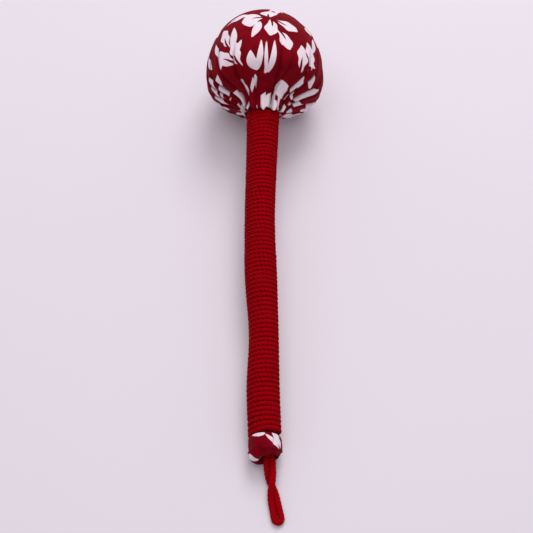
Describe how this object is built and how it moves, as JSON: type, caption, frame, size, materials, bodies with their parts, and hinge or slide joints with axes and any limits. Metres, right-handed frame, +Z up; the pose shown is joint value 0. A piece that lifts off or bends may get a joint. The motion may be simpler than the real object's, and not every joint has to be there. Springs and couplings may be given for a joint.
{
  "type": "soft massage hammer",
  "caption": "Stuffed printed-cotton ball on a crooked cane handle wound with red cord, with a cloth stub and a hanging loop; for tapping the body, lies on a table.",
  "frame": {"origin": "on the table, under the middle of the hammer's box, measured without the hanging loop", "axes": "+Y along the handle towards the ball, +X to the right, +Z up; Z = 0 is the table that the ball and the stub rest on"},
  "size_m": [0.083, 0.3742, 0.0831],
  "materials": {
    "cane": "bare rattan cane, hidden",
    "stuffing": "loose cotton stuffing, hidden",
    "bag_cloth": "plain undyed cotton, hidden",
    "printed_cotton": "plain-weave cotton, dark crimson ground with a white floral print",
    "thread": "tight waxed thread, hidden",
    "red_cord": "twisted cotton cord, matt with a soft sheen"
  },
  "bodies": {
    "hammer": {"core_stick": "cane", "head_filling": "stuffing", "filling_bag": "bag_cloth", "head_cover": "printed_cotton", "neck_binding": "thread", "handle_wadding": "stuffing", "handle_cover": "printed_cotton", "stub_filling": "stuffing", "cord_winding": "red_cord", "loop_knot": "red_cord"},
    "loop": {"hanging_loop": "red_cord"}
  },
  "joints": [
    {"name": "loop_swing", "type": "hinge", "parent": "hammer", "child": "loop", "pos_m": [0.0029, -0.1688, 0.0063], "axis": [-1, 0, 0], "range_deg": [-45, 75]}
  ]
}
